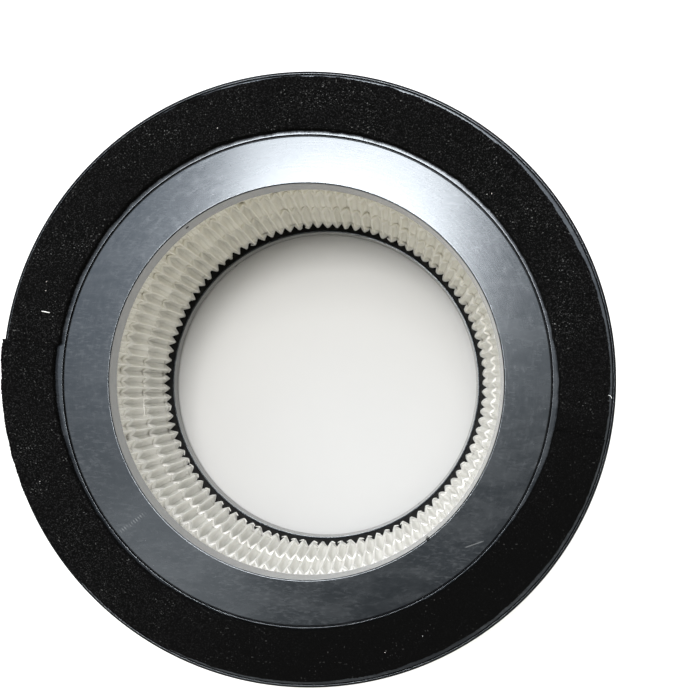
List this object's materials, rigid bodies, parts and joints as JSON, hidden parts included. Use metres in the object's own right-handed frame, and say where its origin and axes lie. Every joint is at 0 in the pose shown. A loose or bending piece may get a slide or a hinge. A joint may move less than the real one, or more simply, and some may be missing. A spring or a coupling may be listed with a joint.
{
  "type": "air purifier hepa filter",
  "caption": "Cylindrical air filter cartridge: a ring of pleated white media between two dark grey moulded end caps, with a black sponge gasket on one cap and an open bore.",
  "frame": {"origin": "on the floor, under the middle of the lower end cap", "axes": "+Z along the bore, from the plain end cap to the gasket; X and Y across"},
  "size_m": [0.18, 0.18, 0.1],
  "materials": {
    "cap_plastic": "satin dark grey moulded plastic, lightly scratched",
    "gasket_sponge": "black open-cell sponge",
    "filter_media": "matt white fibre media",
    "separator_glue": "translucent off-white hot-melt",
    "sealing_compound": "black cured compound",
    "carbon_cloth": "matt black felt",
    "prefilter_net": "fine black net"
  },
  "bodies": {
    "root": {"top_end_cap": "cap_plastic", "bottom_end_cap": "cap_plastic", "foam_gasket_upper": "gasket_sponge", "foam_gasket_lower": "gasket_sponge", "hepa_pleat_pack": "filter_media", "inner_glue_bead_bottom": "separator_glue", "inner_glue_bead_middle": "separator_glue", "inner_glue_bead_top": "separator_glue", "outer_glue_bead_bottom": "separator_glue", "outer_glue_bead_middle": "separator_glue", "outer_glue_bead_top": "separator_glue", "bottom_potting": "sealing_compound", "top_potting": "sealing_compound", "carbon_cloth_wrap": "carbon_cloth", "prefilter_mesh_wrap": "prefilter_net"}
  },
  "joints": []
}
